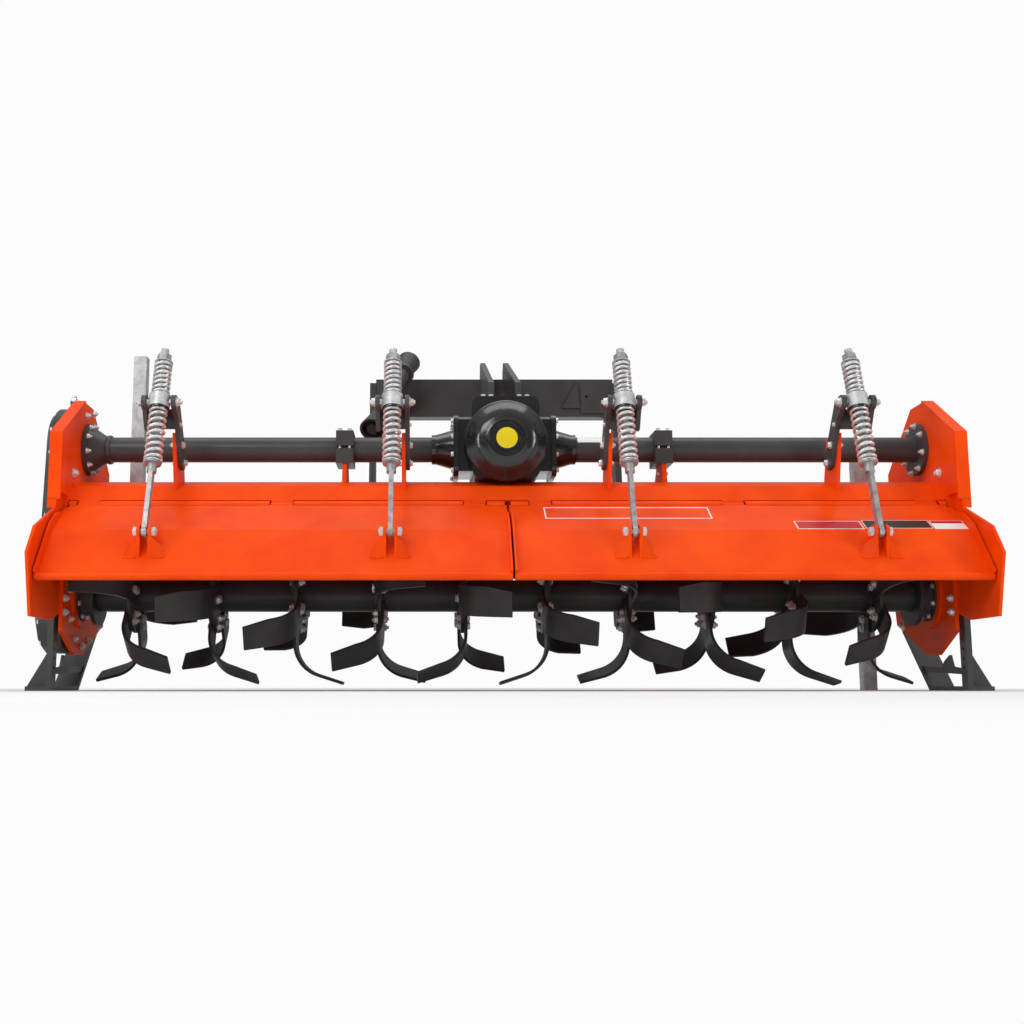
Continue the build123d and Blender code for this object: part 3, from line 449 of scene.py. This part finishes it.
def frame_bolts():
    """Every bolt, nut and plug that stands still with the frame, as one mesh."""
    zinc = Pile("frame_bolts", "frame", "zinc")
    for x, inward in rod_places():
        for reach, height, size in YOKE_BOLTS:
            bolt(zinc, at(x + inward * YOKE_FACE, reach, height), (inward, 0, 0), size, size * 0.75)
        for reach, height, size in YOKE_BOLTS[1:]:
            bolt(zinc, at(x + inward * LUG_NEAR, reach, height), (-inward, 0, 0), size, 6.5, stud=4)
    for side in (-1, 1):
        # flange bolts of the cross tube, through the side plate
        for angle, reach, height in circle(TUBE_REACH, TUBE_HEIGHT, 68.5, 10 if side < 0 else 8, 0.35):
            bolt(zinc, at(side * TUBE_FLANGE, reach, height), (-side, 0, 0), 7.2, 6, stud=6, turn=angle)
            if side > 0:
                bolt(zinc, at(PLATE_OUT, reach, height), (1, 0, 0), 7.2, 6, turn=angle)
        # bearing feet
        for angle, reach, height in circle(0, AXLE, 62, 8, 0.5):
            bolt(zinc, at(side * BEARING_FOOT, reach, height), (-side, 0, 0), 6.6, 5.5, turn=angle)
        # clamps: four bolts that pull the halves together, and one through the web
        for dx in (-14, 14):
            for reach in (TUBE_REACH - 42, TUBE_REACH + 42):
                bolt(zinc, at(side * CLAMP_X + dx, reach, CLAMP_TOP), (0, 0, 1), 7, 6)
                lathe(zinc, at(side * CLAMP_X + dx, reach, CLAMP_SPLIT), (0, 0, 1), [(4, 0), (4, 10)], 10)
        bolt(zinc, at(side * (CLAMP_X + WEB_HALF), TUBE_REACH, 622), (1, 0, 0), 8, 6.5, stud=5)
        bolt(zinc, at(side * (CLAMP_X - WEB_HALF), TUBE_REACH, 622), (-1, 0, 0), 8, 6.5)
        # gearbox sides
        for reach in (-70, 70):
            for rise in (-72, -26, 26, 72):
                place = at(side * PAD_X, TUBE_REACH + reach, TUBE_HEIGHT + rise)
                bolt(zinc, place, (side, 0, 0), 7, 6, turn=rise)
        for reach in (-24, 24):
            bolt(zinc, at(side * PAD_X, TUBE_REACH + reach, TUBE_HEIGHT + 72), (side, 0, 0), 7, 6)
        # gearbox lid
        for reach in (-94, 110):
            for x in (62, 40):
                bolt(zinc, at(side * x, reach, GEARBOX_TOP), (0, 0, 1), 7.5, 6.5)
        # the skid's front end and the plate's own bolts
        for reach, height in PLATE_BOLTS:
            bolt(zinc, at(side * PLATE_IN, reach, height), (-side, 0, 0), 9.5, 8, stud=4)
        bolt(zinc, at(side * PLATE_IN, -118, 600), (-side, 0, 0), 10.5, 8, stud=5)
    # ends of the case bolts inside the left side plate
    for reach, height in CASE_STUDS:
        bolt(zinc, at(-PLATE_IN, reach, height), (1, 0, 0), 8.5, 7, stud=4)
    # bolts round the step of the gear case: upper arc, lower corners and the two straight sides
    angles = [math.radians(-14 + i * 208 / 6) for i in range(7)]
    rim = [(TUBE_REACH + 110.5 * math.cos(a), TUBE_HEIGHT + 110.5 * math.sin(a)) for a in angles]
    rim += [(side * 136 * CASE_LOW, AXLE + rise * CASE_LOW) for side in (-1, 1) for rise in (10, -85)]
    for side in (-1, 1):
        rim += [(side * reach * CASE_LOW, AXLE + rise * CASE_LOW) for reach, rise in ((100, -145), (22, -162))]
    rim += [(-105.4, 484), (127.4, 484)]
    for reach, height in rim:
        bolt(zinc, at(-CASE_FACE, reach, height), (-1, 0, 0), 6.5, 4.6)
    # bearing cap outside the right side plate, with its grease nipple
    for angle, reach, height in circle(0, AXLE, 68, 6, 0.5):
        bolt(zinc, at(cap_face, reach, height), (1, 0, 0), 7.5, 6, turn=angle)
    nipple = [(5.5, 0), (5.5, 5), (3.5, 6), (3.5, 9), (4.2, 10), (3, 13)]
    lathe(zinc, at(cap_face + 4, 0, AXLE), (1, 0, 0), nipple, 12)
    # filler plug of the gear case
    plug = at(-1253, TUBE_REACH, CASE_TOP)
    lathe(zinc, plug, (0, 0, 1), [(12.5, 0), (12.5, 3), (10, 3.5)], 18)
    hexagon(zinc, plug + Vector((0, 0, 3.5 * MM)), (0, 0, 1), 9.5, 8)
    lathe(zinc, plug + Vector((0, 0, 11.5 * MM)), (0, 0, 1), [(5, 0), (6.5, 2), (6.5, 6), (5, 8)], 14)
    zinc.ride()


def weld_beads():
    """Beads where thick parts of the frame meet, and the turned rims of the bearing cap and the tube's cone."""
    orange = Pile("orange_welds", "frame", "orange_paint")
    black = Pile("black_welds", "frame", "grey_paint")
    for side in (-1, 1):
        # ends of the hood, from the rear lip over the top
        inner = side * (PLATE_IN - 1.5)
        weld(orange, at(inner, -148, 521), at(inner, -120, 563), 4.0, 1)
        weld(orange, at(inner, -120, 564), at(inner, -41, HOOD_SKIN), 4.0, 2)
        weld(orange, at(inner, -40, HOOD_SKIN), at(inner, 109, HOOD_SKIN), 4.0, 3)
        for edge in (-WEB_HALF, WEB_HALF):
            web = side * CLAMP_X + edge
            weld(orange, at(web, -28, HOOD_SKIN), at(web, 104, HOOD_SKIN), 3.2, edge)
        # hitch beam at its legs, mast plates on the gearbox
        weld(black, at(side * 393, 474, 890), at(side * 393, 474, 1006), 3.5, side)
        for edge in (-8, 8):
            mast = side * 38 + edge
            weld(black, at(mast, -60, GEARBOX_TOP + 1), at(mast, 58, GEARBOX_TOP + 1), 3.2, edge + side)
    for x, inward in rod_places():
        for edge in (LUG_NEAR, LUG_FAR):
            lug = x + inward * edge
            weld(orange, at(lug, -127, 551), at(lug, -119, 564), 3.2, x)
            weld(orange, at(lug, -118, 564.5), at(lug, -42, 588.5), 3.2, x + edge)
    lathe(black, at(cap_face - 0.1, 0, AXLE), (1, 0, 0), [(50, 0), (50, 2), (47, 4.2), (1, 4.2)], 48)
    cone_rim = [(36.6, 0), (41, 1), (42.5, 3), (42.5, 9), (40.5, 13), (36.6, 15)]
    lathe(black, at(-1149, TUBE_REACH, TUBE_HEIGHT), (1, 0, 0), cone_rim, 44)
    orange.ride()
    black.ride()


# ---- plates and stripes, all blank ----
TAIL_TOP, TAIL_CREASE, TAIL_BOTTOM = (-15, 3), (-144, -81), (-247, -211)  # reach and rise from the hinge
FILM, FILM_OVER = 0.4, 0.8  # thickness of a plate, and of the field that lies on it
NAME_PLATE, NAME_BORDER = (96, 15, 544, 86), 3.5
PLATES = (
    ("white_film", "warning_plate_white", (755, 102, 930, 150), FILM),
    ("red_film", "warning_plate_red", (758, 105, 927, 147), FILM_OVER),
    ("white_film", "notice_plate_white", (936, 98, 1112, 146), FILM),
    ("black_film", "notice_plate_black", (938, 100, 1110, 144), FILM_OVER),
    ("white_film", "small_plate_white", (1116, 100, 1203, 150), FILM),
    ("red_film", "small_plate_red", (1118, 102, 1201, 116), FILM_OVER),
)


def on_panel(half, top, bottom, x, down, out):
    """A point on one panel of a tailboard: millimetres right, down the panel from its top and out of it."""
    hinge = Vector(joints[f"tailboard_{half}_hinge"]["pos_m"])
    run, fall = bottom[0] - top[0], bottom[1] - top[1]
    slope = Vector((0, run, fall)).normalized()
    away = Vector((0, fall, -run)).normalized()
    start = Vector((x * MM, hinge.y + top[0] * MM, hinge.z + top[1] * MM))
    return start + slope * down * MM + away * out * MM


def field(pile, area, thick):
    """A flat rectangle on the right tailboard's upper panel: left, top, right and bottom in millimetres."""
    left, top, right, bottom = area
    corners = ((left, bottom), (right, bottom), (right, top), (left, top))
    sheet(pile, [on_panel("right", TAIL_TOP, TAIL_CREASE, x, down, 0.05) for x, down in corners], thick)


def labels():
    """The plates of the right tailboard, the gearbox and the cross tube."""
    border = Pile("name_plate_border", "tailboard_right", "white_film")
    left, top, right, bottom = NAME_PLATE
    inner_top, inner_bottom = top + NAME_BORDER, bottom - NAME_BORDER
    field(border, (left, top, right, inner_top), FILM)
    field(border, (left, inner_bottom, right, bottom), FILM)
    field(border, (left, inner_top, left + NAME_BORDER, inner_bottom), FILM)
    field(border, (right - NAME_BORDER, inner_top, right, inner_bottom), FILM)
    border.ride()
    for finish, name, area, thick in PLATES:
        plate = Pile(name, "tailboard_right", finish)
        field(plate, area, thick)
        plate.ride()
    disc = Pile("gearbox_disc", "frame", "yellow_film")
    rear = Vector((0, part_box("gearbox_cover")[0].y, tube_z))
    lathe(disc, rear, (0, -1, 0), [(29.5, 0), (29.5, 0.5), (29, 0.7)], 48)
    disc.ride()
    band = Pile("tube_plate", "frame", "white_film")
    angles = [math.radians(154 - 7 * i) for i in range(8)]
    bent_strip(band, 213, 301, at(0, TUBE_REACH, TUBE_HEIGHT), 36.9, 36.3, angles)
    band.ride()


# ---- sheet work that the solids leave out ----
KNUCKLES = {"left": (-1150, -620, -90), "right": (90, 620, 1150)}
KNUCKLE_ROOM = 33  # to each side of a knuckle's middle
TAIL_ENDS = {"left": (-1203, -8), "right": (8, 1203)}
ROLL_OUTER, ROLL_INNER = 16.6, 13.6


def rolled_edges():
    """The rolled upper edge of each tailboard, which closes the gap under the hood's lip between the knuckles."""
    angles = [math.radians(168 - 7.5 * i) for i in range(13)]
    for name in ("left", "right"):
        pile = Pile(f"rolled_edge_{name}", f"tailboard_{name}", "orange_paint")
        hinge = Vector(joints[f"tailboard_{name}_hinge"]["pos_m"])
        first, last = TAIL_ENDS[name]
        marks = [first] + [x + way * KNUCKLE_ROOM for x in KNUCKLES[name] for way in (-1, 1)] + [last]
        for left, right in zip(marks[::2], marks[1::2]):
            bent_strip(pile, left, right, hinge, ROLL_OUTER, ROLL_INNER, angles, smooth=True)
        pile.ride()


def ear_welds():
    """The wing sheets beside the clevis ears of the tailboards, with their beads."""
    for name in ("left", "right"):
        pile = Pile(f"ear_welds_{name}", f"tailboard_{name}", "orange_paint")

        def lower(x, down, out=0.8):
            return on_panel(name, TAIL_CREASE, TAIL_BOTTOM, x, down, out)

        for x, _ in rod_places(name):
            for side in (-1, 1):
                wing = [(18.3, 60, 35.5), (18.3, 104, 1.5), (52, 103, 0.3), (41, 61, 0.3)]
                corners = [lower(x + side * across, down, out) for across, down, out in wing[::side]]
                sheet(pile, corners, 2.5)
                weld(pile, lower(x + side * 41.5, 60), lower(x + side * 52.5, 103), 3.4, x)
                weld(pile, lower(x + side * 20, 105), lower(x + side * 52, 104), 3.2, x + side)
        pile.ride()


def end_fillers():
    """What closes each side plate's rear foot down to the end plate outside it."""
    pile = Pile("end_fillers", "frame", "orange_paint")
    near = PLATE_OUT + 0.2
    for side in (-1, 1):
        for far, outline in (
            (1225, [(-222, 490), (-160, 517), (-155, 545), (-222, 545)]),
            (1241, [(-230, 487), (-222, 490), (-222, 512), (-230, 512)]),
        ):
            rings = [pile.ring(at(side * x, reach, height) for reach, height in outline) for x in (near, far)]
            pile.skin(rings[::side])
    pile.ride()


# ---- pieces that take the place of plainer solids ----
DOME_STEPS = 7
SPLINES = 6
SPLINE_LENGTH = 100
GROOVE_FLOOR = 14.6  # radius between the splines
SPLINE_RINGS = (  # along the stub, radius of the crests and of the grooves
    (0, 17.4, 17.4), (6, 17.4, GROOVE_FLOOR), (66, 17.4, GROOVE_FLOOR), (68, 14.6, 14.0),
    (75, 14.6, 14.0), (77, 17.4, GROOVE_FLOOR), (97, 17.4, GROOVE_FLOOR), (100, 15.4, 13.6),
)
SPLINE_FORM = ((0, -21), (0, -15), (1, -14), (1, 0), (1, 14), (0, 15), (0, 21))  # groove or crest, and degrees


def gearbox_dome():
    """The cast cover behind the gearbox with its rounded shoulder, in place of the plain one."""
    pile = Pile("gearbox_dome", "frame", "black_paint")
    low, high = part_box("gearbox_cover")
    depth = (high.y - low.y) / MM
    broad = (high.z - low.z) / MM / 2
    profile = [(broad, 0), (broad, depth - 37), (broad - 1.5, depth - 34.5)]
    for i in range(DOME_STEPS + 1):
        rise = math.sin(math.pi / 2 * i / DOME_STEPS) ** 1.15
        profile.append((broad - 4 - 52 * (i / DOME_STEPS), depth - 33 + 31 * rise))
    profile += [(56, depth - 1.2), (54, depth), (50.5, depth), (49, depth - 2.5)]
    profile += [(37, depth - 2.5), (35.5, depth), (1, depth)]
    lathe(pile, (0, high.y, tube_z), (0, -1, 0), profile, 96)
    piece = pile.ride()
    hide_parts("gearbox_cover")


def input_splines():
    """The splined stub that takes the tractor's shaft, in place of the plain one."""
    pile = Pile("input_splines", "pto_input", "steel")
    start = Vector(joints["pto_input_spin"]["pos_m"])
    low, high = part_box("input_shaft")
    neck = high.y - SPLINE_LENGTH * MM

    def spline_ring(along, crest, groove):
        points = []
        for tooth in range(SPLINES):
            for high_part, turn in SPLINE_FORM:
                radius = crest if high_part else groove
                angle = math.radians(360 / SPLINES * tooth + turn)
                x, rise = radius * MM * math.cos(angle), radius * MM * math.sin(angle)
                points.append(Vector((x, neck + along * MM, start.z + rise)))
        return pile.ring(points)

    pile.skin([spline_ring(*ring) for ring in SPLINE_RINGS])
    journal = (neck - low.y) / MM
    lathe(pile, (0, low.y, start.z), (0, 1, 0), [(22, 0), (22, journal - 1.5), (20.5, journal)], 40)
    piece = pile.ride()
    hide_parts("input_shaft")


# ---- fittings of the hitch, the stands and the rotor ----
PIN_TIP = 508
GUSSET = ((222, 921), (283, 921), (272, 1008))  # x and height
BEAM_END = ((285, 906), (288, 903), (378, 903), (378, 1004), (288, 1004), (285, 1001))
BEAM_HOLES = ((304, 960), (360, 930))
SHANK_BOLTS = (68, 93)  # radii of a blade's two bolts
BLADE_THIRDS = (0, 120, 240)
UP = Vector((0, 0, 1))


def hoop(pile, centre, across, radius, wire, count):
    """An upright wire ring."""
    points = [centre + spoke * radius * MM for spoke in spokes(UP, Vector(across), count)]
    tube(pile, points, wire, sides=8, closed=True)


def hitch_details():
    """Lynch pins and rings on the lower pins, the locks of the stands, and the beam's gusset and end plate."""
    zinc = Pile("hitch_pins", "frame", "zinc")
    lynch_pin = [(4.6, 0), (5.2, 3), (5.2, 44), (8.5, 45), (8.5, 56), (6, 58)]
    lock_pin = [(11, 0), (11, 6), (8, 7), (8, 22), (10, 23), (10, 28), (8, 30)]
    for side in (-1, 1):
        tip = at(side * PIN_TIP, 515, 432)
        lathe(zinc, tip - UP * 24 * MM, (0, 0, 1), lynch_pin, 14)
        hoop(zinc, tip, (0, 1, 0), 24, 2.0, 28)
        lock = at(side * STAND_X, 322, 460)
        lathe(zinc, lock, (0, 1, 0), lock_pin, 18)
        hoop(zinc, lock + Vector((0, 26 * MM, -14 * MM)), (1, 0, 0), 16, 1.8, 24)
    zinc.ride()
    gusset = Pile("beam_gusset", "frame", "grey_paint")
    for outline, thick in ((GUSSET, 6), (BEAM_END, 4.9)):
        faces = (BEAM_REAR, BEAM_REAR - thick)
        gusset.skin([gusset.ring(at(x, reach, height) for x, height in outline) for reach in faces])
    for x, height in BEAM_HOLES:
        lathe(gusset, at(x, 469.1, height), (0, -1, 0), [(7, 0), (7, 0.8), (4.4, 1.2), (4.2, 0.1)], 20)
    gusset.ride()


def rotor_bolts():
    """Two bolts through each blade's shank and its flange, and the beads of the flanges."""
    zinc = Pile("blade_bolts", "rotor", "zinc")
    beads = Pile("flange_welds", "rotor", "blade_paint")
    for index in range(ROTOR_FLANGES):
        x = ROTOR_SHIFT + (index - (ROTOR_FLANGES - 1) / 2) * ROTOR_PITCH
        for way, start in ((1, 22), (-1, 82)):
            for third in BLADE_THIRDS:
                angle = math.radians(start + index * ROTOR_TURN + third)
                for radius in SHANK_BOLTS:
                    reach, height = -radius * math.sin(angle), AXLE + radius * math.cos(angle)
                    bolt(zinc, at(x - way * 12.5, reach, height), (-way, 0, 0), 10, 7, turn=angle)
                    bolt(zinc, at(x + way * 5, reach, height), (way, 0, 0), 10, 9, stud=6, turn=angle)
        for side in (-1, 1):
            lathe(beads, at(x + side * 4.8, 0, AXLE), (side, 0, 0), [(49.5, 0), (48.5, 2.4), (45.2, 5.5)], 40)
    zinc.ride()
    beads.ride()


rods()
frame_bolts()
rotor_bolts()
weld_beads()
labels()
rolled_edges()
ear_welds()
end_fillers()
gearbox_dome()
input_splines()
hitch_details()


# ---- studio ----
FLOOR_REACH = 30.0
FADE_START, FADE_END = 1.6, 3.2  # metres from the middle over which the floor turns into the backdrop


def camera_and_floor():
    """The photo's camera, and a pale floor that fades into the white behind."""
    camera = bpy.data.objects.new("camera", bpy.data.cameras.new("camera"))
    bpy.context.scene.collection.objects.link(camera)
    camera.data.lens = 42.7
    camera.data.sensor_width = 36.0
    camera.data.shift_x = 0.0794
    camera.data.clip_start = 0.001
    camera.location = (-0.211, rotor_y - 3.455, 0.017)
    camera.rotation_euler = (math.radians(90 + 8.08), 0.0, 0.0)
    bpy.context.scene.camera = camera

    mesh = bpy.data.meshes.new("floor")
    corners = [(x * FLOOR_REACH, y * FLOOR_REACH, 0) for x, y in ((-1, -1), (1, -1), (1, 1), (-1, 1))]
    mesh.from_pydata(corners, [], [(0, 1, 2, 3)])
    floor = bpy.data.objects.new("floor", mesh)
    bpy.context.scene.collection.objects.link(floor)
    material, tree, shader = new_material("floor_look")
    grain = noise(tree, 3.0)
    tone = ramp(tree, grain.outputs["Fac"], grey(0.86), grey(0.89))
    tree.links.new(tone.outputs["Color"], shader.inputs["Base Color"])
    shader.inputs["Roughness"].default_value = 1.0
    shader.inputs["Specular IOR Level"].default_value = 0.0
    place = tree.nodes.new("ShaderNodeTexCoord")
    distance = tree.nodes.new("ShaderNodeVectorMath")
    distance.operation = "LENGTH"
    tree.links.new(place.outputs["Object"], distance.inputs[0])
    fade = tree.nodes.new("ShaderNodeMapRange")
    fade.interpolation_type = "SMOOTHSTEP"
    fade.inputs["From Min"].default_value = FADE_START
    fade.inputs["From Max"].default_value = FADE_END
    tree.links.new(distance.outputs["Value"], fade.inputs["Value"])
    glow = tree.nodes.new("ShaderNodeEmission")
    glow.inputs["Color"].default_value = grey(1.0)
    glow.inputs["Strength"].default_value = BACKDROP
    mix = tree.nodes.new("ShaderNodeMixShader")
    tree.links.new(fade.outputs["Result"], mix.inputs["Fac"])
    tree.links.new(shader.outputs["BSDF"], mix.inputs[1])
    tree.links.new(glow.outputs["Emission"], mix.inputs[2])
    tree.links.new(mix.outputs["Shader"], tree.nodes["Material Output"].inputs["Surface"])
    mesh.materials.append(material)


def area_light(name, place, aim, size, energy):
    """A soft rectangular lamp that faces a point."""
    light = bpy.data.lights.new(name, "AREA")
    light.shape = "RECTANGLE"
    light.size = size[0]
    light.size_y = size[1]
    light.energy = energy
    lamp = bpy.data.objects.new(name, light)
    lamp.location = place
    lamp.rotation_euler = (Vector(aim) - Vector(place)).to_track_quat("-Z", "Y").to_euler()
    bpy.context.scene.collection.objects.link(lamp)


def lights():
    """A dim sky for the reflections, a white backdrop for the camera alone, and four soft lamps."""
    world = bpy.data.worlds.new("studio")
    world.use_nodes = True
    tree = world.node_tree
    sky = tree.nodes["Background"]
    sky.inputs["Strength"].default_value = 1.0
    coordinates = tree.nodes.new("ShaderNodeTexCoord")
    parts = tree.nodes.new("ShaderNodeSeparateXYZ")
    tree.links.new(coordinates.outputs["Generated"], parts.inputs["Vector"])
    shade = ramp(tree, parts.outputs["Z"], grey(0.16), grey(0.62), 0.0, 0.85)
    tree.links.new(shade.outputs["Color"], sky.inputs["Color"])
    backdrop = tree.nodes.new("ShaderNodeBackground")
    backdrop.inputs["Color"].default_value = grey(1.0)
    backdrop.inputs["Strength"].default_value = BACKDROP
    path = tree.nodes.new("ShaderNodeLightPath")
    mix = tree.nodes.new("ShaderNodeMixShader")
    tree.links.new(path.outputs["Is Camera Ray"], mix.inputs["Fac"])
    tree.links.new(sky.outputs["Background"], mix.inputs[1])
    tree.links.new(backdrop.outputs["Background"], mix.inputs[2])
    tree.links.new(mix.outputs["Shader"], tree.nodes["World Output"].inputs["Surface"])
    bpy.context.scene.world = world
    bpy.context.scene.view_settings.view_transform = "Standard"
    area_light("key", (-2.2, -3.8, 3.0), (0, 0, 0.5), (2.4, 1.4), 64)
    area_light("strip_left", (-4.0, -2.6, 1.3), (0, 0, 0.6), (0.5, 2.0), 34)
    area_light("strip_right", (4.0, -2.6, 1.4), (0, 0, 0.6), (0.9, 2.0), 48)
    area_light("top", (0, 0.4, 4.2), (0, 0, 0.5), (4.0, 2.0), 55)


camera_and_floor()
lights()
